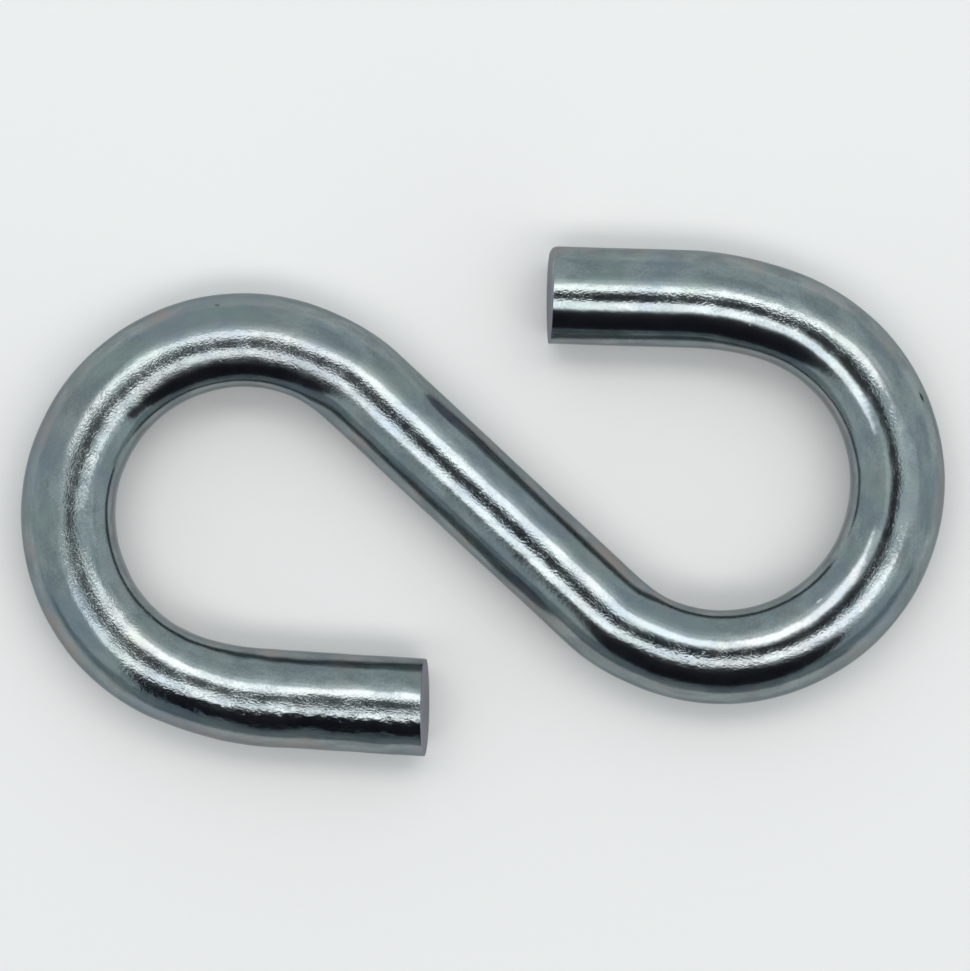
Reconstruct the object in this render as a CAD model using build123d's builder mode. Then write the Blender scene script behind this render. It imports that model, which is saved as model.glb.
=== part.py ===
from build123d import *
import os

# S hook bent cold from one length of round steel wire.
# It lies flat on the XY plane, its centre over the origin and both tips nearly parallel to X.
# Lengths are in millimetres and angles in degrees.

# Wire
wire_diameter = 5.0
wire_radius = wire_diameter / 2

# Shank, the straight slanting run between the two bends
shank_length = 16.8
shank_heading = -40.0

# Bends, both turned round the same mandrel, which squeezes the wire in the plane of the hook
mandrel_radius = 6.6
bend_thinning = 0.2
squeeze_turn = 20.0
bend_turn = 184.0

# Leads, the last part of each turn, where the bend opens out towards the tip
# The upper one was bent a little further than the lower one
lead_radius = 16.0
upper_lead_turn = 17.3
lower_lead_turn = 15.4

# Tips, the straight ends, sheared off a little out of square
# The shear angle turns a cut about Y, so the upper face looks slightly up and the lower one slightly down
# The slant angle turns it about X, nearly the direction of the tip, so it hardly tilts the face
upper_tip_length = 7.05
lower_tip_length = 8.05
upper_shear_angle = 3.2
lower_shear_angle = 4.9
upper_slant_angle = 1.2
lower_slant_angle = 3.1
rim_chamfer = 0.12
cut_overrun = 1.0

# Derived sizes
bend_thickness = wire_diameter - bend_thinning
bend_radius = mandrel_radius + bend_thickness / 2

# One row for each half: heading of its shank, turn of its lead, length of its tip, lean of its end
halves = (
    (shank_heading, upper_lead_turn, upper_tip_length, upper_shear_angle, upper_slant_angle),
    (shank_heading + 180, lower_lead_turn, lower_tip_length, lower_shear_angle, lower_slant_angle),
)


def cross_plane(run, position):
    """Plane square to a run of the centreline, with its x axis pointing up."""
    return Plane(origin=run @ position, x_dir=(0, 0, 1), z_dir=run % position)


with BuildPart() as s_hook:
    for heading, lead_turn, tip_length, shear_angle, slant_angle in halves:

        # Centreline, from the middle of the shank to the end of the tip
        with BuildLine(Plane.XY.offset(wire_radius).rotated((0, 0, heading))):
            shank = Line((0, 0), (shank_length / 2, 0))
            squeeze = JernArc(shank @ 1, shank % 1, bend_radius, squeeze_turn)
            bend = JernArc(squeeze @ 1, squeeze % 1, bend_radius, bend_turn)
            lead = JernArc(bend @ 1, bend % 1, lead_radius, lead_turn)
            tip = Line(lead @ 1, lead @ 1 + lead % 1 * tip_length)

        # Half of the shank
        with BuildSketch(cross_plane(shank, 0)):
            Circle(wire_radius)
        extrude(amount=shank_length / 2)

        # Start of the bend, where the round wire becomes oval
        with BuildSketch(cross_plane(squeeze, 0)):
            Circle(wire_radius)
        with BuildSketch(cross_plane(squeeze, 1)):
            Ellipse(wire_radius, bend_thickness / 2)
        sweep(path=squeeze, multisection=True)

        # Bend round the mandrel
        with BuildSketch(cross_plane(bend, 0)):
            Ellipse(wire_radius, bend_thickness / 2)
        revolve(axis=Axis(bend.arc_center, (0, 0, 1)), revolution_arc=bend_turn)

        # Lead, where the oval becomes round again
        with BuildSketch(cross_plane(lead, 0)):
            Ellipse(wire_radius, bend_thickness / 2)
        with BuildSketch(cross_plane(lead, 1)):
            Circle(wire_radius)
        sweep(path=lead, multisection=True)

        # Tip, with the sheared end leaning a little
        with BuildSketch(cross_plane(tip, 0)):
            Circle(wire_radius)
        extrude(amount=tip_length + cut_overrun)
        with BuildSketch(cross_plane(tip, 1).rotated((slant_angle, shear_angle, 0))):
            Circle(wire_radius + cut_overrun)
        extrude(amount=2 * cut_overrun, mode=Mode.SUBTRACT)

    # The rims of the sheared ends are slightly broken
    end_faces = s_hook.faces().filter_by(GeomType.PLANE)
    chamfer(end_faces.edges(), length=rim_chamfer)

s_hook.part.label = "s_hook"

os.makedirs("parts", exist_ok=True)
export_step(s_hook.part, "parts/s_hook.step")
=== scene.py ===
"""S hook bent from bright zinc-plated wire, lying flat on a pale floor under strip lights.

Lengths are in metres. Positions along the wire are counted from the middle of the shank,
positive towards the upper tip and negative towards the lower one.
"""
import logging
import math
from dataclasses import dataclass
from enum import Enum
from typing import Any, ClassVar

import bpy
import numpy as np
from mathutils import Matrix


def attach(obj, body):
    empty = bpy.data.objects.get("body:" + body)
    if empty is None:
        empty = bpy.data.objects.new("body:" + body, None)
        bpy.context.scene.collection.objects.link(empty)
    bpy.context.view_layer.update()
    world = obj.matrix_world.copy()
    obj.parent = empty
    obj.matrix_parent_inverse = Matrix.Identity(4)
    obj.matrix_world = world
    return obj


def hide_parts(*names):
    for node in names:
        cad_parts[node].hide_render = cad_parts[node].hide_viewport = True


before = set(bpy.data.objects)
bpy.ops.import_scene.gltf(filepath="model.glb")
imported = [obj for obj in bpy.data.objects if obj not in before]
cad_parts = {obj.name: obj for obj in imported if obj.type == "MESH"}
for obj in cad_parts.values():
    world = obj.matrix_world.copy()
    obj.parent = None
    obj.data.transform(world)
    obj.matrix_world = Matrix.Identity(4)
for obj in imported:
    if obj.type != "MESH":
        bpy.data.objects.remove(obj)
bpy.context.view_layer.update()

IMAGE_WIDTH = 970
IMAGE_HEIGHT = 971
PICTURE_TURN = math.radians(2.95)

Colour = tuple[float, float, float]
Vector = tuple[float, float, float]
Span = tuple[float, float]
Socket = bpy.types.NodeSocket

log = logging.getLogger("s_hook")


def smooth_step(value: np.ndarray) -> np.ndarray:
    """Rise from 0 to 1 without corners while the value goes from 0 to 1.

    Args:
        value: Values of any range; those outside 0 to 1 are clamped.

    Returns:
        3 v^2 - 2 v^3 of the clamped values.
    """
    held = np.clip(value, 0.0, 1.0)
    return held * held * (3.0 - 2.0 * held)


class Signal:
    """A value in a node tree; arithmetic on it adds Math nodes."""

    def __init__(self, graph: "Graph", socket: Socket) -> None:
        """Wrap an output socket of the graph."""
        self.graph = graph
        self.socket = socket

    def _math(self, operation: str, *terms: "Term") -> "Signal":
        """Add one Math node.

        Args:
            operation: Name of the Math node's operation.
            *terms: Its inputs in order, numbers or signals.

        Returns:
            The node's result.
        """
        inputs = dict(enumerate(terms))
        return self.graph.value("ShaderNodeMath", {"operation": operation}, inputs)

    def __add__(self, other: "Term") -> "Signal":
        """Sum."""
        return self._math("ADD", self, other)

    def __radd__(self, other: "Term") -> "Signal":
        """Sum with a number on the left."""
        return self._math("ADD", other, self)

    def __sub__(self, other: "Term") -> "Signal":
        """Difference."""
        return self._math("SUBTRACT", self, other)

    def __rsub__(self, other: "Term") -> "Signal":
        """Difference from a number."""
        return self._math("SUBTRACT", other, self)

    def __mul__(self, other: "Term") -> "Signal":
        """Product."""
        return self._math("MULTIPLY", self, other)

    def __rmul__(self, other: "Term") -> "Signal":
        """Product with a number on the left."""
        return self._math("MULTIPLY", other, self)

    def __truediv__(self, other: "Term") -> "Signal":
        """Quotient."""
        return self._math("DIVIDE", self, other)

    def __rtruediv__(self, other: "Term") -> "Signal":
        """Quotient of a number by this."""
        return self._math("DIVIDE", other, self)

    def __abs__(self) -> "Signal":
        """Size without sign."""
        return self._math("ABSOLUTE", self)

    def ramp(self, start: float, end: float) -> "Signal":
        """Rise smoothly from 0 at start to 1 at end, or fall where start is the larger.

        Args:
            start: Value at which the result is 0.
            end: Value at which the result is 1.

        Returns:
            A signal between 0 and 1.
        """
        low, high = min(start, end), max(start, end)
        rise = self.graph.value(
            "ShaderNodeMapRange",
            {"interpolation_type": "SMOOTHSTEP"},
            {"Value": self, "From Min": low, "From Max": high},
        )
        return rise if start < end else 1.0 - rise


Term = Signal | float


class Graph:
    """Node tree of a material or of the world.

    The Mix node has sockets of its own for each type of data, so those for colours go by number.
    """

    MIX_FACTOR: ClassVar[int] = 0
    MIX_COLOURS: ClassVar[tuple[int, int]] = (6, 7)
    MIX_RESULT: ClassVar[int] = 2

    def __init__(self, tree: bpy.types.NodeTree) -> None:
        """Take a tree and empty it."""
        tree.nodes.clear()
        self.tree = tree

    def node(
        self,
        kind: str,
        settings: dict[str, Any] | None = None,
        inputs: dict[str | int, Any] | None = None,
    ) -> bpy.types.Node:
        """Add a node.

        Args:
            kind: Blender's name of the node's type.
            settings: Properties of the node, set before its sockets.
            inputs: Value, signal or socket for each input, by name or number.

        Returns:
            The new node.
        """
        made = self.tree.nodes.new(kind)
        for name, value in (settings or {}).items():
            setattr(made, name, value)
        for key, value in (inputs or {}).items():
            source = value.socket if isinstance(value, Signal) else value
            if isinstance(source, Socket):
                self.tree.links.new(source, made.inputs[key])
            else:
                made.inputs[key].default_value = source
        return made

    def value(
        self,
        kind: str,
        settings: dict[str, Any] | None = None,
        inputs: dict[str | int, Any] | None = None,
        output: str | int = 0,
    ) -> Signal:
        """Add a node and wrap one of its outputs.

        Args:
            kind: Blender's name of the node's type.
            settings: Properties of the node, set before its sockets.
            inputs: Value, signal or socket for each input, by name or number.
            output: Name or number of the output.

        Returns:
            The output as a signal.
        """
        return Signal(self, self.node(kind, settings, inputs).outputs[output])

    def tint(self, share: Term, first: Colour | Socket, second: Colour | Socket) -> Socket:
        """Mix two colours.

        Args:
            share: Share of the second colour, 0 to 1.
            first: Colour or colour socket shown at share 0.
            second: Colour or colour socket shown at share 1.

        Returns:
            The mixed colour's socket.
        """
        inputs = {self.MIX_FACTOR: share}
        for number, colour in zip(self.MIX_COLOURS, (first, second)):
            inputs[number] = (*colour, 1.0) if isinstance(colour, tuple) else colour
        settings = {"data_type": "RGBA", "clamp_factor": True}
        return self.node("ShaderNodeMix", settings, inputs).outputs[self.MIX_RESULT]

    def stretched(self, vector: Socket, stretch: float, shift: Vector) -> Socket:
        """Divide a vector's first part, so that a pattern laid on it is longer there, and move it.

        Args:
            vector: The vector's socket.
            stretch: How many times longer the pattern becomes.
            shift: Distance added to the divided vector.

        Returns:
            The resulting vector's socket.
        """
        inputs = {0: vector, 1: (1.0 / stretch, 1.0, 1.0), 2: shift}
        return self.node("ShaderNodeVectorMath", {"operation": "MULTIPLY_ADD"}, inputs).outputs[0]


class Half(Enum):
    """The two halves of the S, by the sign of positions on them."""

    UPPER = 1
    LOWER = -1


@dataclass(frozen=True)
class ShearedEnd:
    """The end face of one tip, as the shear left it.

    Args:
        tip_length: Length of the straight tip.
        lean_up: How far the face leans back towards its top edge, in radians.
        lean_side: How far it leans back towards the left of the wire's direction, in radians.
        rim: Radius of the broken edge all round.
        rollover: Radius that the blade's pressure adds to the edge on one side.
        rollover_turn: Where round the wire that side is, in radians.
        lobe_power: Power that narrows the rolled-over side.
    """

    tip_length: float
    lean_up: float
    lean_side: float
    rim: float
    rollover: float = 0.0
    rollover_turn: float = 0.0
    lobe_power: int = 3

    def rim_radius(self, turn: np.ndarray) -> np.ndarray:
        """Radius of the edge round the wire: the rim plus a lobe, a power of a raised cosine.

        Args:
            turn: Angle round the wire, in radians.

        Returns:
            Radius of the edge at each angle.
        """
        lobe = (0.5 + 0.5 * np.cos(turn - self.rollover_turn)) ** self.lobe_power
        return self.rim + self.rollover * lobe


@dataclass(frozen=True)
class BentWire:
    """Centreline and section of the wire, in the solid's own sizes but for the shifted crest.

    Args:
        radius: The wire's radius.
        shank_length: Length of the straight run between the bends.
        mandrel_radius: Radius of the rod that both bends were turned round.
        thinning: How much thinner the wire is in the bends.
        shank_heading: Direction of the shank from +X, in radians.
        squeeze_turn: Turn over which the section becomes oval, in radians.
        bend_turn: Turn of each bend, with the squeeze, in radians.
        lead_radius: Radius of the leads, where the bends open out.
        upper_lead_turn: Turn of the upper lead, in radians.
        lower_lead_turn: Turn of the lower lead, in radians.
        crest_shift: Shift of the crest towards the mandrel, as a share of the radius.
        upper_tip_crest: Share of that shift left in the upper tip.
        lower_tip_crest: Share of it left in the lower tip.
        least_shift: Shift taken where there is none, so that it can be divided by.
        easing: Length over which the curvature changes.
        sample_gap: Distance between the points at which the centreline is worked out.
    """

    radius: float = 0.0025
    shank_length: float = 0.0168
    mandrel_radius: float = 0.0066
    thinning: float = 0.0002
    shank_heading: float = math.radians(-40.0)
    squeeze_turn: float = math.radians(20.0)
    bend_turn: float = math.radians(204.0)
    lead_radius: float = 0.016
    upper_lead_turn: float = math.radians(17.3)
    lower_lead_turn: float = math.radians(15.4)
    crest_shift: float = 0.07
    upper_tip_crest: float = 0.42
    lower_tip_crest: float = 0.3
    least_shift: float = 1e-9
    easing: float = 0.0012
    sample_gap: float = 0.00002

    @property
    def bend_radius(self) -> float:
        """Radius of the bends' centreline."""
        return self.mandrel_radius + self.radius - self.thinning / 2

    @property
    def shank_end(self) -> float:
        """Position where the bend starts."""
        return self.shank_length / 2

    @property
    def squeeze_end(self) -> float:
        """Position where the section has become oval."""
        return self.shank_end + self.bend_radius * self.squeeze_turn

    @property
    def lead_start(self) -> float:
        """Position where the bend opens out into the lead."""
        return self.shank_end + self.bend_radius * self.bend_turn

    def tip_start(self, half: Half) -> float:
        """Distance from the middle of the shank at which a half's straight tip starts."""
        turn = self.upper_lead_turn if half is Half.UPPER else self.lower_lead_turn
        return self.lead_start + self.lead_radius * turn

    def squeeze(self, position: np.ndarray, release: float | np.ndarray = 1.0) -> np.ndarray:
        """How far the wire is squeezed: 0 in the shank and 1 in the bends, with smooth steps.

        Args:
            position: Positions along the wire.
            release: Share of it that the leads take away again.

        Returns:
            Shares between 0 and 1.
        """
        far = np.abs(position)
        stop = np.where(position > 0.0, self.tip_start(Half.UPPER), self.tip_start(Half.LOWER))
        entry = smooth_step((far - self.shank_end) / (self.squeeze_end - self.shank_end))
        leave = smooth_step((far - self.lead_start) / (stop - self.lead_start))
        return entry - release * leave

    def section(self, position: np.ndarray, turn: np.ndarray) -> tuple[np.ndarray, np.ndarray]:
        """Place of the wire's skin round its centreline.

        A circle in the shank. In the bends it is an ellipse whose crest is shifted towards the
        mandrel, and the tips keep a share of that shift. Its inner end would reach too far by
        twice the shift, so it is pressed back by a parabola that ends upright, and the wire is
        thinner by the same amount on both sides.

        Args:
            position: Positions along the wire.
            turn: Angles round the wire, from its left side upwards.

        Returns:
            Distances to the left of the centreline and heights over it.
        """
        share = self.squeeze(position)
        inwards = np.sign(position)
        kept = np.where(position > 0.0, self.upper_tip_crest, self.lower_tip_crest)
        shift = self.crest_shift * self.radius * self.squeeze(position, 1.0 - kept)
        reach = self.radius - self.thinning / 2 * share + shift
        across = shift + reach * inwards * np.cos(turn)
        pressed = 2.0 * np.maximum(shift, self.least_shift)
        over = np.maximum(across - (shift + reach - 2.0 * pressed), 0.0)
        across = across - over * over / (4.0 * pressed)
        return inwards * across, self.radius * np.sin(turn)

    def centreline(self, position: np.ndarray) -> tuple[np.ndarray, np.ndarray]:
        """Points of the centreline and the unit vectors to its left.

        The curvature steps from straight to bend, lead and tip, each step eased over a short
        length. Its running sum along the wire is the heading, and the running sum of the
        heading's cosine and sine is the point. The lower half runs the other way, turned half
        round.

        Args:
            position: Positions along the wire, of any shape.

        Returns:
            Points and left-hand unit vectors, with one more axis of length 3.
        """
        reach = float(np.abs(position).max()) + self.easing
        far = np.arange(0.0, reach, self.sample_gap)
        curves = (1.0 / self.bend_radius, 1.0 / self.lead_radius, 0.0)
        steps = np.diff((0.0, *curves))
        at = np.abs(position)
        found = {}
        for half in Half:
            places = (self.shank_end, self.lead_start, self.tip_start(half))
            curvature = sum(
                step * smooth_step((far - place) / self.easing + 0.5)
                for step, place in zip(steps, places)
            )
            heading = self.shank_heading + self._running_sum(curvature)
            x = half.value * self._running_sum(np.cos(heading))
            y = half.value * self._running_sum(np.sin(heading))
            found[half] = [np.interp(at, far, column) for column in (heading, x, y)]
        pairs = zip(found[Half.UPPER], found[Half.LOWER])
        here, x, y = (np.where(position > 0.0, *pair) for pair in pairs)
        points = np.stack([x, y, np.full_like(here, self.radius)], axis=-1)
        left = np.stack([-np.sin(here), np.cos(here), np.zeros_like(here)], axis=-1)
        return points, left

    def _running_sum(self, rate: np.ndarray) -> np.ndarray:
        """Add up a rate along the samples by the trapezium rule, from 0."""
        return np.concatenate([[0.0], np.cumsum(0.5 * (rate[1:] + rate[:-1]))]) * self.sample_gap


@dataclass(frozen=True)
class Ripple:
    """Faint unevenness that drawing, bending and plating leave on the wire.

    Args:
        seed: Seed of the waves.
        waves: Number of waves added up.
        shortest: Length of the shortest wave.
        longest: Length of the longest wave.
        tilt: Usual tilt of the surface, in radians.
        places: Positions along the wire at which its unevenness is given.
        shares: Unevenness there, as a share of the usual tilt.
    """

    seed: int = 11
    waves: int = 70
    shortest: float = 0.0011
    longest: float = 0.008
    tilt: float = math.radians(0.5)
    places: tuple[float, ...] = (-0.050, -0.044, -0.036, -0.010, 0.0, 0.040, 0.046)
    shares: tuple[float, ...] = (2.2, 2.2, 1.5, 1.3, 0.7, 1.0, 0.5)

    def height(self, position: np.ndarray, turn: np.ndarray, radius: float) -> np.ndarray:
        """Height of the unevenness over the smooth wire.

        A sum of cosine waves with seeded lengths, directions and phases. Each goes a whole number
        of times round the wire, so that the seam closes, and is as high as its length allows for
        the same tilt.

        Args:
            position: Positions along the wire.
            turn: Angles round the wire, of the same shape.
            radius: The wire's radius.

        Returns:
            Heights of the same shape.
        """
        rng = np.random.default_rng(self.seed)
        length = np.exp(rng.uniform(np.log(self.shortest), np.log(self.longest), self.waves))
        slant = rng.uniform(0.0, math.pi, self.waves)
        phase = rng.uniform(0.0, 2 * math.pi, self.waves)
        along = 2 * math.pi / length * np.cos(slant)
        round_ = np.round(2 * math.pi / length * np.sin(slant) * radius)
        amplitude = self.tilt * math.sqrt(2.0 / self.waves) * length / (2 * math.pi)
        angle = position[..., None] * along + turn[..., None] * round_ + phase
        return np.interp(position, self.places, self.shares) * (np.cos(angle) @ amplitude)


@dataclass(frozen=True)
class Blotches:
    """Size and kind of the blotches of a noise.

    Args:
        size: Size of a blotch.
        layers: Number of finer layers.
        shift: Distance that moves the pattern to a place of its own in the noise.
        rise: For patches made of it, values of the noise at which they begin and are full.
        stretch: How many times a blotch is longer along the wire than across it.
        keep: Strength of each layer as a share of the coarser one before it.
    """

    size: float
    layers: float
    shift: float
    rise: Span = (0.0, 1.0)
    stretch: float = 1.0
    keep: float = 0.55


@dataclass(frozen=True)
class WirePlace:
    """Where each shaded point lies on the straightened wire.

    Args:
        graph: The material's graph.
        vector: Position along the wire, distance to its left and height over its axis.
        along: The position along the wire.
        side: The distance to the left as a share of the radius.
        up: The height as a share of the radius.
        cut: 1 on the sheared faces, 0 on the wire.
    """

    PLACE: ClassVar[str] = "wire_place"
    CUT: ClassVar[str] = "cut_face"

    graph: Graph
    vector: Socket
    along: Signal
    side: Signal
    up: Signal
    cut: Signal

    @classmethod
    def read(cls, graph: Graph, radius: float) -> "WirePlace":
        """Read the places from the mesh's attributes.

        Args:
            graph: The material's graph.
            radius: The wire's radius.

        Returns:
            The places.
        """
        kind = "ShaderNodeAttribute"
        vector = graph.node(kind, {"attribute_name": cls.PLACE}).outputs["Vector"]
        cut = graph.value(kind, {"attribute_name": cls.CUT}, output="Fac")
        parts = graph.node("ShaderNodeSeparateXYZ", None, {0: vector})
        along, side, up = (Signal(graph, socket) for socket in parts.outputs)
        return cls(graph, vector, along, side / radius, up / radius, cut)

    def noise(self, blotches: Blotches) -> Signal:
        """Add a cloudy noise.

        Args:
            blotches: Size and kind of its blotches.

        Returns:
            A signal around 0.5, mostly between 0.25 and 0.75.
        """
        inputs = {
            "Vector": self.graph.stretched(self.vector, blotches.stretch, (blotches.shift,) * 3),
            "Scale": 1.0 / blotches.size,
            "Detail": blotches.layers,
            "Roughness": blotches.keep,
        }
        return self.graph.value("ShaderNodeTexNoise", {"noise_dimensions": "3D"}, inputs)

    def patches(self, blotches: Blotches) -> Signal:
        """Add patches with soft edges, 1 inside and 0 between them."""
        return self.noise(blotches).ramp(*blotches.rise)


@dataclass(frozen=True)
class Zone:
    """A part of the wire's skin with soft edges, one span for each edge.

    A span gives the value at which the zone begins to show and that from which it shows fully.

    Args:
        along: Spans of the position along the wire.
        side: Spans of the distance to the left, as shares of the radius.
    """

    along: tuple[Span, ...]
    side: tuple[Span, ...]

    def mask(self, place: WirePlace) -> Signal:
        """Multiply the rises over all the edges.

        Args:
            place: Where the points lie.

        Returns:
            A signal of 1 inside the zone and 0 outside.
        """
        mask: Term = 1.0
        for span in self.along:
            mask = mask * place.along.ramp(*span)
        for span in self.side:
            mask = mask * place.side.ramp(*span)
        return mask


class Tone(Enum):
    """What a mark on the wire looks like."""

    DARK = "dark"
    PALE = "pale"


@dataclass(frozen=True)
class Speck:
    """A small mark on the wire.

    Args:
        place: Position along the wire, distance to its left and height over its axis.
        radius: Half of its width.
        strength: How plain it is, 0 to 1.
        stretch: How many times it is longer than wide.
        tone: A dark spot or a pale nick.
        waver: How far its outline strays, as a share of its radius.
        fade: Distances from its middle at which it begins and is full, as shares of its radius.
    """

    place: Vector
    radius: float
    strength: float
    stretch: float = 1.0
    tone: Tone = Tone.DARK
    waver: float = 1.4
    fade: Span = (1.15, 0.6)

    def mask(self, place: WirePlace, ragged: Signal) -> Signal:
        """Show the mark within its ragged outline.

        Args:
            place: Where the points lie.
            ragged: Noise that moves the outline in and out.

        Returns:
            A signal of the mark's strength inside it, falling to 0 just outside.
        """
        along, side, up = self.place
        shift = (-along / self.stretch, -side, -up)
        offset = place.graph.stretched(place.vector, self.stretch, shift)
        settings = {"operation": "LENGTH"}
        gap = place.graph.value("ShaderNodeVectorMath", settings, {0: offset}, "Value")
        size = gap + self.radius * self.waver * (ragged - 0.5)
        start, end = self.fade
        return size.ramp(self.radius * start, self.radius * end) * self.strength


@dataclass(frozen=True)
class Stain:
    """A faint tint of the plating in soft patches.

    Args:
        colour: Its colour.
        patches: Size and kind of the patches.
        share: Its strength on the wire's top, 0 to 1.
        flank_shade_share: Strength added on the flanks: painted shade that darkens the flanks'
            mirror image of the pale floor.
    """

    colour: Colour
    patches: Blotches
    share: float
    flank_shade_share: float = 0.0


@dataclass(frozen=True)
class Pitting:
    """Fine pits in the plating.

    All of the wire is pitted in a band along the crest, narrower on the upper hook, and further
    down its front side, which faces -Y, as far as the end of the upper bend. The lower hook is
    pitted more, and the shank's front less.

    The spans from lower_hook to front_end are positions along the wire, in bends counted both
    ways, and those from crest to front_far are distances from the crest as shares of the radius.
    Each gives where something begins and where it is full. From those of turned_back on, a bend
    has turned the wire's left side to the front. The shares are parts of the full depth, and
    those that follow crest_share and front_share are added to them on part of the wire.
    """

    pits: Blotches = Blotches(0.00011, 2.0, 0.05, stretch=4.0 / 3.0)
    depth: float = 0.0000185
    patches: Blotches = Blotches(0.0009, 3.0, 0.59, (0.35, 0.65))
    patch_share: float = 0.6
    lower_hook: Span = (-0.004, -0.013)
    upper_hook: Span = (0.003, 0.010)
    bends: Span = (0.007, 0.012)
    turned_back: tuple[Span, Span] = ((-0.034, -0.040), (0.026, 0.034))
    front_end: Span = (0.022, 0.030)
    crest: Span = (0.29, 0.06)
    upper_crest: Span = (0.21, 0.07)
    front_near: Span = (-0.05, 0.12)
    front_far: Span = (0.65, 0.35)
    all_over_share: float = 0.05
    crest_share: float = 0.75
    lower_crest_share: float = 0.22
    upper_crest_share: float = 0.06
    front_share: float = 0.2
    bent_front_share: float = 0.3
    lower_front_share: float = 0.35
    ended_front_share: float = -0.5

    def height(self, place: WirePlace) -> Signal:
        """Work out the pits' heights in metres: a fine noise times the depth at each point."""
        return place.noise(self.pits) * self._share(place) * self.depth

    def _share(self, place: WirePlace) -> Signal:
        """Work out the share of the full depth at each point.

        Args:
            place: Where the points lie.

        Returns:
            A signal of about 0 to 1.
        """
        along, from_crest = place.along, abs(place.side)
        lower = along.ramp(*self.lower_hook)
        upper = along.ramp(*self.upper_hook)
        bent = abs(along).ramp(*self.bends)
        ended = along.ramp(*self.front_end)
        turned = sum((along.ramp(*span) for span in self.turned_back), 0.0)
        front = place.side * (2.0 * turned - 1.0)
        wide, narrow = from_crest.ramp(*self.crest), from_crest.ramp(*self.upper_crest)
        crest = wide * (1.0 - upper) + narrow * upper
        on_crest = self.crest_share + self.lower_crest_share * lower + self.upper_crest_share * upper
        on_front = self.front_share + self.bent_front_share * bent
        on_front = on_front + self.lower_front_share * lower + self.ended_front_share * ended
        beside = front.ramp(*self.front_near) * front.ramp(*self.front_far)
        slope = on_front * beside * (1.0 - crest)
        patchy = (1.0 - self.patch_share) + self.patch_share * place.patches(self.patches)
        return self.all_over_share + patchy * (on_crest * crest + slope)


@dataclass(frozen=True)
class Dents:
    """Shallow dents, deepest on the outer side of the lower tip and of the bend before it.

    Args:
        dents: Size and kind of the dents.
        depth: Their depth in the zone.
        zone: Where they are deepest.
        all_over_share: Share of that depth added all over the wire.
    """

    dents: Blotches = Blotches(0.0005, 1.0, 0.83)
    depth: float = 0.00003
    zone: Zone = Zone(((-0.036, -0.043),), ((0.05, 0.25), (0.62, 0.42)))
    all_over_share: float = 0.15

    def height(self, place: WirePlace) -> Signal:
        """Work out the dents' heights in metres: a coarse noise times the depth at each point."""
        return place.noise(self.dents) * (self.all_over_share + self.zone.mask(place)) * self.depth


@dataclass(frozen=True)
class Scuff:
    """The place inside the lower bend that is rubbed duller.

    Args:
        zone: Where it is.
        patches: Size and kind of the dullest patches in it.
        patch_share: Share of the dullness that only the patches have.
    """

    zone: Zone = Zone(((-0.006, -0.011), (-0.026, -0.021)), ((-0.18, -0.3), (-0.58, -0.46)))
    patches: Blotches = Blotches(0.0007, 3.0, 0.41, (0.3, 0.6))
    patch_share: float = 0.65

    def mask(self, place: WirePlace) -> Signal:
        """Work out how dull each point is, 0 to 1: the zone's mask times a patchy share."""
        patchy = (1.0 - self.patch_share) + self.patch_share * place.patches(self.patches)
        return self.zone.mask(place) * patchy


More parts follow.
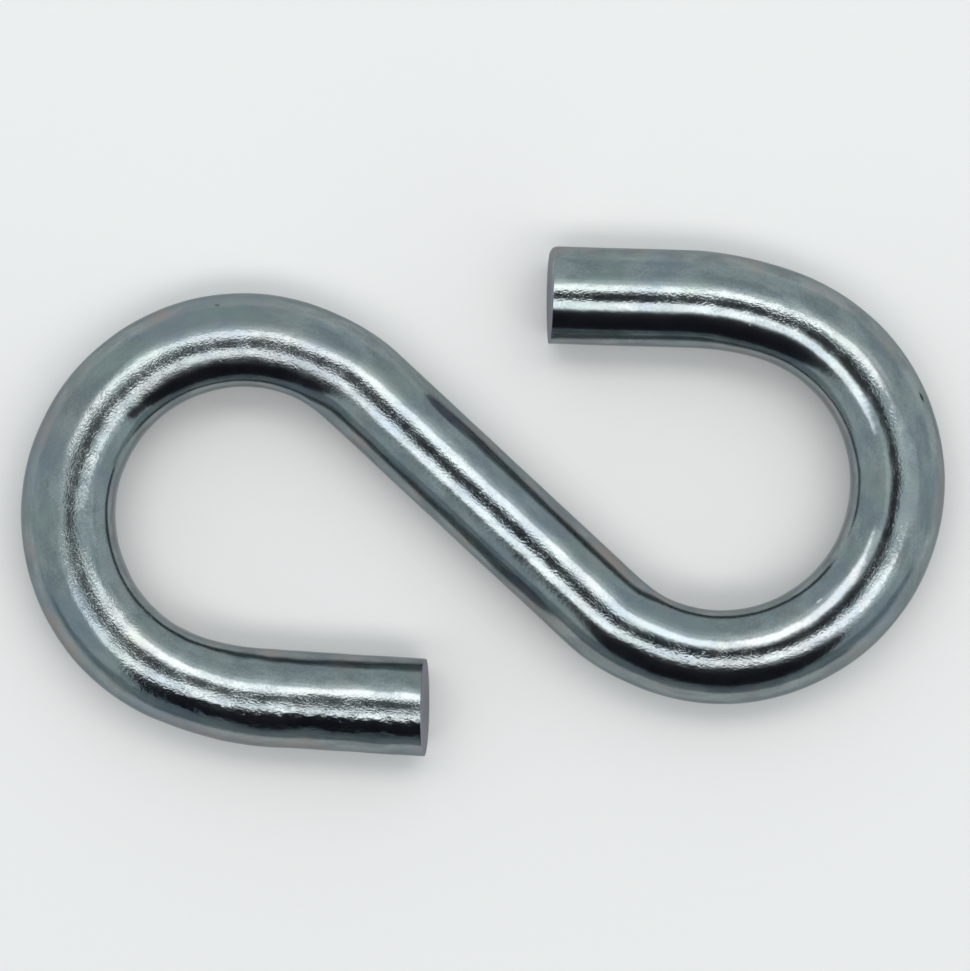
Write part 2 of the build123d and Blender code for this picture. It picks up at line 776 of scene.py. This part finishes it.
@dataclass(frozen=True)
class ZincPlate:
    """Bright zinc on drawn wire: blue-grey, glossy, clouded, stained and pitted along its crest.

    The colours of the plate are mixed by clouds, drawn out along the wire, and grain. The stains
    are blue, green and tan; the tan one is laid more strongly on the flanks as painted shade,
    which darkens their mirror image of the pale floor. The flanks span heights as shares of the
    radius. All that is named for a roughness is added to that of the gloss, apart from the sheared
    faces' own.
    """

    dark_plate: Colour = (0.188, 0.220, 0.233)
    light_plate: Colour = (0.316, 0.354, 0.361)
    clouds: Blotches = Blotches(0.0009, 5.0, 0.77, (0.38, 0.62), stretch=2.0)
    grain: Blotches = Blotches(0.00012, 1.0, 0.67, (0.3, 0.7))
    cloud_share: float = 0.65
    stains: tuple[Stain, ...] = (
        Stain((0.212, 0.256, 0.295), Blotches(0.0042, 3.0, 0.23, (0.48, 0.66)), 0.7),
        Stain((0.250, 0.300, 0.285), Blotches(0.0024, 3.0, 0.52, (0.5, 0.7)), 0.6),
        # The tan stain is a real tint on the top; its share on the flanks is painted shade that
        # darkens their mirror image of the floor.
        Stain((0.325, 0.288, 0.270), Blotches(0.0035, 3.0, 0.31, (0.48, 0.66)), 0.2, 0.6),
    )
    flanks: Span = (0.85, 0.4)
    cut_face: Colour = (0.275, 0.265, 0.305)
    dark_speck: Colour = (0.03, 0.03, 0.035)
    pale_nick: Colour = (0.70, 0.73, 0.74)
    ragged: Blotches = Blotches(0.00025, 2.0, 0.9)
    edge_tint: Colour = (0.56, 0.59, 0.60)
    haze: Blotches = Blotches(0.0015, 3.0, 0.13)
    scuff: Scuff = Scuff()
    worn_crest: Zone = Zone(((-0.004, -0.013),), ((-0.36, -0.12), (0.36, 0.12)))
    gloss_roughness: float = 0.145
    cut_roughness: float = 0.38
    haze_roughness: float = 0.08
    flank_roughness: float = 0.05
    mark_roughness: float = 0.4
    scuff_roughness: float = 0.09
    crest_roughness: float = 0.042
    pitting: Pitting = Pitting()
    dents: Dents = Dents()

    def material(self, radius: float, specks: tuple[Speck, ...]) -> bpy.types.Material:
        """Make the finish.

        Args:
            radius: The wire's radius.
            specks: Marks on the wire.

        Returns:
            The new material.
        """
        made = bpy.data.materials.new("zinc_plate")
        made.use_nodes = True
        graph = Graph(made.node_tree)
        place = WirePlace.read(graph, radius)
        ragged = place.noise(self.ragged)
        marks = {
            tone: sum((speck.mask(place, ragged) for speck in specks if speck.tone is tone), 0.0)
            for tone in Tone
        }
        height = self.pitting.height(place) + self.dents.height(place)
        relief = {"Strength": 1.0, "Distance": 1.0, "Height": height}
        bump = graph.node("ShaderNodeBump", None, relief)
        shader = graph.node(
            "ShaderNodeBsdfPrincipled",
            None,
            {
                "Base Color": self._colour(place, marks),
                "Metallic": 1.0,
                "Roughness": self._roughness(place, marks),
                "Normal": bump.outputs["Normal"],
                "Specular Tint": (*self.edge_tint, 1.0),
            },
        )
        graph.node("ShaderNodeOutputMaterial", None, {"Surface": shader.outputs[0]})
        return made

    def _flank(self, place: WirePlace) -> Signal:
        """Show the wire's flanks, 1 there and 0 on its top and underside."""
        return abs(place.up).ramp(*self.flanks)

    def _colour(self, place: WirePlace, marks: dict[Tone, Term]) -> Socket:
        """Mix the clouds and grain, then lay the stains, the sheared faces and the marks over them.

        Args:
            place: Where the points lie.
            marks: Masks of the marks of each tone.

        Returns:
            The colour's socket.
        """
        tint = place.graph.tint
        flank = self._flank(place)
        cloud, grain = place.patches(self.clouds), place.patches(self.grain)
        shade = cloud * self.cloud_share + grain * (1.0 - self.cloud_share)
        colour = tint(shade, self.dark_plate, self.light_plate)
        for stain in self.stains:
            # On the flanks the stain's extra share is painted shade: it darkens the flanks where
            # they mirror the pale floor.
            share = place.patches(stain.patches) * (stain.share + stain.flank_shade_share * flank)
            colour = tint(share, colour, stain.colour)
        colour = tint(place.cut, colour, self.cut_face)
        colour = tint(marks[Tone.DARK], colour, self.dark_speck)
        return tint(marks[Tone.PALE], colour, self.pale_nick)

    def _roughness(self, place: WirePlace, marks: dict[Tone, Term]) -> Signal:
        """Add up the roughness of the plating and of what dulls it.

        Args:
            place: Where the points lie.
            marks: Masks of the marks of each tone.

        Returns:
            The roughness.
        """
        rough = self.gloss_roughness + self.haze_roughness * (place.noise(self.haze) - 0.5)
        rough = rough + self.flank_roughness * self._flank(place)
        rough = rough + place.cut * (self.cut_roughness - self.gloss_roughness)
        rough = rough + self.mark_roughness * (marks[Tone.DARK] + marks[Tone.PALE])
        rough = rough + self.scuff_roughness * self.scuff.mask(place)
        return rough + self.crest_roughness * self.worn_crest.mask(place)


@dataclass(frozen=True)
class PlainPaint:
    """An even matt colour for the things round the hook."""

    ROUGHNESS: ClassVar[float] = 0.9

    name: str
    colour: Colour

    def material(self) -> bpy.types.Material:
        """Make the finish.

        Returns:
            The new material.
        """
        made = bpy.data.materials.new(self.name)
        made.use_nodes = True
        graph = Graph(made.node_tree)
        inputs = {
            "Base Color": self._base(graph),
            "Roughness": self.ROUGHNESS,
            "Specular IOR Level": 0.0,
        }
        shader = graph.node("ShaderNodeBsdfPrincipled", None, inputs)
        graph.node("ShaderNodeOutputMaterial", None, {"Surface": shader.outputs[0]})
        return made

    def _base(self, graph: Graph) -> tuple[float, ...] | Socket:
        """Give the base colour, the same everywhere."""
        return (*self.colour, 1.0)


@dataclass(frozen=True)
class FadedPaint(PlainPaint):
    """A matt colour that turns greyer away from one place.

    Args:
        far_colour: The colour far away.
        middle: The place.
        start: Distance from it at which the colour starts to change.
        end: Distance from which it is the far colour.
    """

    far_colour: Colour
    middle: Vector
    start: float
    end: float

    def _base(self, graph: Graph) -> tuple[float, ...] | Socket:
        """Mix the two colours by the distance from the place.

        Args:
            graph: The material's graph.

        Returns:
            The colour's socket.
        """
        place = graph.node("ShaderNodeTexCoord").outputs["Object"]
        settings = {"operation": "DISTANCE"}
        gap = graph.value("ShaderNodeVectorMath", settings, {0: place, 1: self.middle}, "Value")
        return graph.tint(gap.ramp(self.start, self.end), self.colour, self.far_colour)


@dataclass
class HookBody:
    """The whole hook: one bent wire with a sheared face at either end.

    Args:
        ripple_fade: Length over which the ripple dies away towards either end.
        cut_start: Share of the turn over the rim from which the sheared face begins to show.
    """

    wire: BentWire = BentWire()
    ripple: Ripple = Ripple()
    finish: ZincPlate = ZincPlate()
    upper_end: ShearedEnd = ShearedEnd(
        tip_length=0.00705,
        lean_up=math.radians(2.8),
        lean_side=math.radians(1.2),
        rim=0.00003,
        rollover=0.00035,
        rollover_turn=math.pi,
    )
    lower_end: ShearedEnd = ShearedEnd(
        tip_length=0.00805,
        lean_up=math.radians(4.5),
        lean_side=math.radians(-3.1),
        rim=0.00004,
    )
    specks: tuple[Speck, ...] = (
        Speck((0.0329, -0.0020, 0.00134), 0.00012, 0.85, 2.0),
        Speck((-0.0162, 0.0018, 0.0016), 0.00011, 0.4),
        Speck((0.0419, 0.0010, 0.00237), 0.00007, 0.3, 1.0, Tone.PALE),
        Speck((0.0212, 0.00125, 0.00227), 0.00007, 0.4, 3.5, Tone.PALE),
        Speck((-0.0282, -0.0008, 0.00242), 0.0004, 0.16, 2.0, Tone.PALE),
    )
    ripple_fade: float = 0.0006
    cut_start: float = 0.8
    rings_along: int = 640
    points_round: int = 96
    rings_rim: int = 7
    rings_face: int = 10

    def build(self) -> bpy.types.Object:
        """Make the mesh and its object.

        Returns:
            The hook's object, at the origin.
        """
        place, cut, points = self._surface()
        mesh = bpy.data.meshes.new("bent_wire")
        mesh.from_pydata(points, [], self._faces(len(points)))
        mesh.polygons.foreach_set("use_smooth", np.ones(len(mesh.polygons), dtype=bool))
        stored = mesh.attributes.new(WirePlace.PLACE, "FLOAT_VECTOR", "POINT")
        stored.data.foreach_set("vector", place.astype(np.float32).ravel())
        stored = mesh.attributes.new(WirePlace.CUT, "FLOAT", "POINT")
        stored.data.foreach_set("value", cut.astype(np.float32))
        mesh.update()
        piece = bpy.data.objects.new("bent_wire", mesh)
        bpy.context.scene.collection.objects.link(piece)
        return piece

    def dress(self, piece: bpy.types.Object) -> None:
        """Give the hook its finish and tie it to the frame.

        Args:
            piece: The hook's object.
        """
        piece.data.materials.append(self.finish.material(self.wire.radius, self.specks))
        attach(piece, "root")
        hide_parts("s_hook")

    def _ring_table(self) -> tuple[np.ndarray, np.ndarray, np.ndarray]:
        """List the rings from the lower face's middle to the upper face's middle.

        Returns:
            For each ring its share of the way along the tube, its turn over the rim from 0 on the
            tube to a right angle on the face, and its share of the face's radius.
        """
        tube = np.linspace(0.0, 1.0, self.rings_along)
        rim = np.linspace(0.0, math.pi / 2, self.rings_rim)[1:]
        face = np.linspace(1.0, 0.0, self.rings_face, endpoint=False)[1:]
        bend = np.concatenate([rim, np.full(len(face), math.pi / 2)])
        share = np.concatenate([np.ones(len(rim)), face])
        still = np.zeros(len(bend))
        return (
            np.concatenate([still, tube, still + 1.0]),
            np.concatenate([bend[::-1], np.zeros(len(tube)), bend]),
            np.concatenate([share[::-1], np.ones(len(tube)), share]),
        )

    def _surface(self) -> tuple[np.ndarray, np.ndarray, np.ndarray]:
        """Work out all points of the wire's skin.

        Each point lies on a ring round the centreline, where the wire's section has it. Beyond
        the tube the rings roll over the rim, along a quarter circle, and close in on the middle
        of the face, which leans back in proportion to the height and to the distance to the left.
        The ripple moves the tube's points outwards.

        Returns:
            Places on the straightened wire, shares of the cut face and points in space, with the
            lower face's middle first and the upper face's middle last.
        """
        way, over, share = (column[:, None] for column in self._ring_table())
        turn = np.linspace(0.0, 2 * math.pi, self.points_round, endpoint=False)[None, :]
        radius = self.wire.radius
        ends = {}
        for half, end in ((Half.UPPER, self.upper_end), (Half.LOWER, self.lower_end)):
            rim = end.rim_radius(turn)
            inner = share * (1.0 - rim / radius * (1.0 - np.cos(over)))
            back = rim * (1.0 - np.sin(over))
            back = back + math.tan(end.lean_up) * radius * inner * np.sin(turn)
            back = back + math.tan(end.lean_side) * radius * inner * np.cos(turn)
            ends[half] = inner, half.value * (self.wire.tip_start(half) + end.tip_length - back)
        upper_inner, upper_stop = ends[Half.UPPER]
        lower_inner, lower_stop = ends[Half.LOWER]
        position = lower_stop + (upper_stop - lower_stop) * way
        inner = np.where(way > 0.5, upper_inner, lower_inner)
        turn = np.broadcast_to(turn, position.shape)

        lift = self.ripple.height(position, turn, radius) * np.where(over > 0.0, 0.0, 1.0)
        from_end = np.minimum(position - lower_stop, upper_stop - position)
        lift = lift * smooth_step(from_end / self.ripple_fade)
        middle, left = self.wire.centreline(position)
        across, height = self.wire.section(position, turn)
        across = inner * (across + lift * np.cos(turn))
        height = inner * (height + lift * np.sin(turn))
        points = middle + across[..., None] * left
        points[..., 2] = np.clip(points[..., 2] + height, 0.0, 2 * radius)
        place = np.stack([position, across, height], axis=-1)
        cut = smooth_step((over / (math.pi / 2) - self.cut_start) / (1.0 - self.cut_start))
        cut = np.broadcast_to(cut, position.shape)[..., None]
        return self._with_poles(place), self._with_poles(cut)[:, 0], self._with_poles(points)

    @staticmethod
    def _with_poles(grid: np.ndarray) -> np.ndarray:
        """Flatten a grid of rings and add the mean of its first and last ring at either end."""
        first, last = grid[0].mean(axis=0, keepdims=True), grid[-1].mean(axis=0, keepdims=True)
        return np.concatenate([first, grid.reshape(-1, grid.shape[-1]), last])

    def _faces(self, count: int) -> list[list[int]]:
        """Join the rings by quads and close both ends by fans.

        Args:
            count: Number of points.

        Returns:
            Point numbers of every face, counted so that it faces outwards.
        """
        round_ = self.points_round
        rings = (count - 2) // round_
        ring, spot = np.meshgrid(np.arange(rings), np.arange(round_), indexing="ij")
        here = 1 + ring * round_ + spot
        after = 1 + ring * round_ + (spot + 1) % round_
        quads = np.stack([here[:-1], after[:-1], after[1:], here[1:]], axis=-1).reshape(-1, 4)
        first = np.stack([np.zeros(round_, dtype=int), after[0], here[0]], axis=-1)
        last = np.stack([np.full(round_, count - 1), here[-1], after[-1]], axis=-1)
        return quads.tolist() + first.tolist() + last.tolist()


@dataclass(frozen=True)
class Strip:
    """A flat light overhead that faces straight down.

    Args:
        name: Name of the light.
        middle: Its middle across and along the picture, as shares of its height over the floor.
        size: Its size in the same directions and measure.
        glow: How bright it looks.
    """

    name: str
    middle: tuple[float, float]
    size: tuple[float, float]
    glow: Colour


@dataclass(frozen=True)
class Board:
    """A flat upright board that the wire mirrors.

    Args:
        name: Name of the board.
        middle: Middle of its lower edge across and along the picture.
        half: Half of its lower edge.
        bottom: Height of its lower edge.
        top: Height of its upper edge.
        paint: Its finish.
        fall: For a board with rounded lower corners, how far its upper edge falls to the right.
        shades: Whether it keeps light from the floor.
    """

    CURVE_POINTS: ClassVar[int] = 33
    CURVE_POWER: ClassVar[float] = 0.72

    name: str
    middle: tuple[float, float]
    half: tuple[float, float]
    bottom: float
    top: float
    paint: PlainPaint
    fall: float = 0.0
    shades: bool = True

    def corners(self) -> np.ndarray:
        """List the board's corners: a rectangle, or a half superellipse hung from a sloping edge.

        Returns:
            One row of across, along and height for each corner, in order.
        """
        if self.fall:
            turn = np.linspace(0.0, math.pi, self.CURVE_POINTS)
            share = np.sign(np.cos(turn)) * np.abs(np.cos(turn)) ** self.CURVE_POWER
            drop = np.sin(turn) ** self.CURVE_POWER
        else:
            share, drop = np.array([1.0, 1.0, -1.0, -1.0]), np.array([0.0, 1.0, 1.0, 0.0])
        top = self.top - self.fall * share
        height = top - (top - self.bottom) * drop
        across, along = (m + share * h for m, h in zip(self.middle, self.half))
        return np.stack([across, along, height], axis=-1)


CARD = PlainPaint("dark_card", (0.024, 0.021, 0.030))
DIM = PlainPaint("dim_board", (0.48, 0.52, 0.54))
LOW = PlainPaint("low_board", (0.34, 0.37, 0.39))


@dataclass
class Studio:
    """Pale floor, strip lights overhead, dark and dim boards and a grey room.

    The lights and boards stand square to the picture, which is turned a little against the hook.

    Args:
        turn: Turn of the picture against the hook, in radians.
        room: How bright the room looks.
        light_height: Height of the strip lights.
        strips: The lights.
        boards: The upright boards.
        shade_height: Height of the dark panel that hangs between the strips.
        shade_length: Its size across the picture.
        shade_width: Its size along the picture.
        floor_size: Length of the floor's sides.
        floor: The floor's finish.
    """

    turn: float
    room: Colour = (0.635, 0.72, 0.735)
    light_height: float = 0.8
    strips: tuple[Strip, ...] = (
        Strip("far_strip", (0.02, 0.38), (1.2, 0.30), (2.85, 2.68, 2.6)),
        Strip("near_strip", (0.08, -0.362), (1.3, 0.305), (2.55, 2.45, 2.42)),
        Strip("far_glow", (0.22, 0.66), (1.7, 0.26), (0.50, 0.51, 0.50)),
        Strip("far_haze", (0.25, 0.95), (1.8, 0.32), (0.12, 0.12, 0.11)),
        Strip("side_haze", (0.78, 0.0), (1.15, 0.5), (0.26, 0.28, 0.27)),
        Strip("near_wing", (0.70, -0.57), (0.8, 0.34), (0.5, 0.5, 0.49)),
        Strip("far_wing", (0.58, 0.53), (0.6, 0.34), (0.3, 0.3, 0.29)),
        Strip("left_haze", (-0.26, 0.03), (0.22, 0.36), (0.3, 0.31, 0.31)),
    )
    boards: tuple[Board, ...] = (
        Board("dark_card", (0.006, -0.22), (0.203, 0.0), 0.051, 0.375, CARD, 0.06),
        Board("near_board", (0.0, -0.30), (0.7, 0.0), 0.0, 0.13, DIM, shades=False),
        Board("near_edge", (0.0, -0.034), (0.04, 0.0), 0.0, 0.005, LOW, shades=False),
    )
    shade_height: float = 0.79
    shade_length: float = 0.27
    shade_width: float = 0.30
    floor_size: float = 6.0
    floor: PlainPaint = FadedPaint(
        name="floor",
        colour=(0.825, 0.81, 0.805),
        far_colour=(0.62, 0.685, 0.70),
        middle=(0.0, 0.0, 0.0),
        start=0.036,
        end=0.08,
    )

    def build(self) -> None:
        """Make the floor, lights, boards and room."""
        flat = np.array([(-1, -1, 0), (1, -1, 0), (1, 1, 0), (-1, 1, 0)], dtype=float) / 2
        self._panel("floor", flat * self.floor_size, self.floor, True)
        shade = flat * (self.shade_length, self.shade_width, 0.0) + (0.0, 0.0, self.shade_height)
        self._panel("shade", shade, CARD, False)
        for board in self.boards:
            panel = self._panel(board.name, board.corners(), board.paint, False)
            panel.visible_shadow = panel.visible_diffuse = board.shades
        for strip in self.strips:
            self._light(strip)
        world = bpy.data.worlds.new("room")
        world.use_nodes = True
        graph = Graph(world.node_tree)
        inputs = {"Color": (*self.room, 1.0), "Strength": 1.0}
        room = graph.node("ShaderNodeBackground", None, inputs)
        graph.node("ShaderNodeOutputWorld", None, {"Surface": room.outputs[0]})
        bpy.context.scene.world = world

    def _across(self, place: np.ndarray) -> np.ndarray:
        """Turn places from the picture's axes to the hook's.

        Args:
            place: Across, along and height in the last axis.

        Returns:
            Coordinates in the frame.
        """
        cosine, sine = math.cos(self.turn), math.sin(self.turn)
        turned = np.array([(cosine, sine, 0), (-sine, cosine, 0), (0, 0, 1)])
        return np.asarray(place, dtype=float) @ turned

    def _panel(
        self, name: str, corners: np.ndarray, paint: PlainPaint, seen: bool
    ) -> bpy.types.Object:
        """Make a flat panel.

        Args:
            name: Name of the panel.
            corners: Its corners in order, in the picture's axes.
            paint: Its finish.
            seen: Whether the camera sees it.

        Returns:
            The panel's object.
        """
        mesh = bpy.data.meshes.new(name)
        mesh.from_pydata(self._across(corners), [], [tuple(range(len(corners)))])
        mesh.materials.append(paint.material())
        panel = bpy.data.objects.new(name, mesh)
        panel.visible_camera = seen
        bpy.context.scene.collection.objects.link(panel)
        return panel

    def _light(self, strip: Strip) -> None:
        """Hang a strip light over the hook.

        Args:
            strip: The light.
        """
        light = bpy.data.lights.new(strip.name, "AREA")
        light.shape = "RECTANGLE"
        light.size, light.size_y = (share * self.light_height for share in strip.size)
        strongest = max(strip.glow)
        light.color = tuple(part / strongest for part in strip.glow)
        light.energy = strongest * math.pi * light.size * light.size_y
        lamp = bpy.data.objects.new(strip.name, light)
        lamp.location = self._across(np.array((*strip.middle, 1.0)) * self.light_height)
        lamp.rotation_euler = (0, 0, self.turn)
        lamp.visible_camera = False
        bpy.context.scene.collection.objects.link(lamp)


@dataclass
class OverheadCamera:
    """Camera straight over the hook, framed by where the hook lies in the picture.

    Args:
        turn: Turn of the picture's right-hand direction from the hook's length, in radians.
        lens: Focal length in millimetres on a sensor of sensor_size millimetres.
        sensor_size: Longer side of the sensor in millimetres.
        pixels_per_metre: Scale of the picture at the height of the wire's axis.
        hook_middle: Pixel at which the middle of the hook lies, from the top left.
        axis_height: Height of the wire's axis over the floor.
        nearest: Distance from which things are seen.
        farthest: Distance up to which they are seen.
    """

    turn: float
    lens: float = 200.0
    sensor_size: float = 36.0
    pixels_per_metre: float = 19500.0
    hook_middle: tuple[float, float] = (482.84, 498.58)
    axis_height: float = 0.0025
    nearest: float = 0.001
    farthest: float = 50.0

    def build(self) -> None:
        """Make the camera and use it for the picture."""
        focal_pixels = self.lens / self.sensor_size * max(IMAGE_WIDTH, IMAGE_HEIGHT)
        right = (IMAGE_WIDTH / 2 - self.hook_middle[0]) / self.pixels_per_metre
        above = (self.hook_middle[1] - IMAGE_HEIGHT / 2) / self.pixels_per_metre
        cosine, sine = math.cos(self.turn), math.sin(self.turn)
        data = bpy.data.cameras.new("overhead")
        data.lens = self.lens
        data.sensor_width = self.sensor_size
        data.clip_start = self.nearest
        data.clip_end = self.farthest
        camera = bpy.data.objects.new("overhead", data)
        camera.location = (
            cosine * right - sine * above,
            sine * right + cosine * above,
            self.axis_height + focal_pixels / self.pixels_per_metre,
        )
        camera.rotation_euler = (0, 0, self.turn)
        bpy.context.scene.collection.objects.link(camera)
        bpy.context.scene.camera = camera


def main() -> None:
    """Build the hook, the studio and the camera, and note the sizes."""
    logging.basicConfig(level=logging.INFO, format="%(name)s: %(message)s")
    bpy.context.scene.view_settings.view_transform = "Standard"
    hook = HookBody()
    piece = hook.build()
    hook.dress(piece)
    log.info("bent wire: %d points, %d faces", len(piece.data.vertices), len(piece.data.polygons))
    Studio(PICTURE_TURN).build()
    log.info("studio: floor, strip lights, boards and a grey room")
    OverheadCamera(PICTURE_TURN).build()
    log.info("camera: straight overhead")


if __name__ == "__main__":
    main()
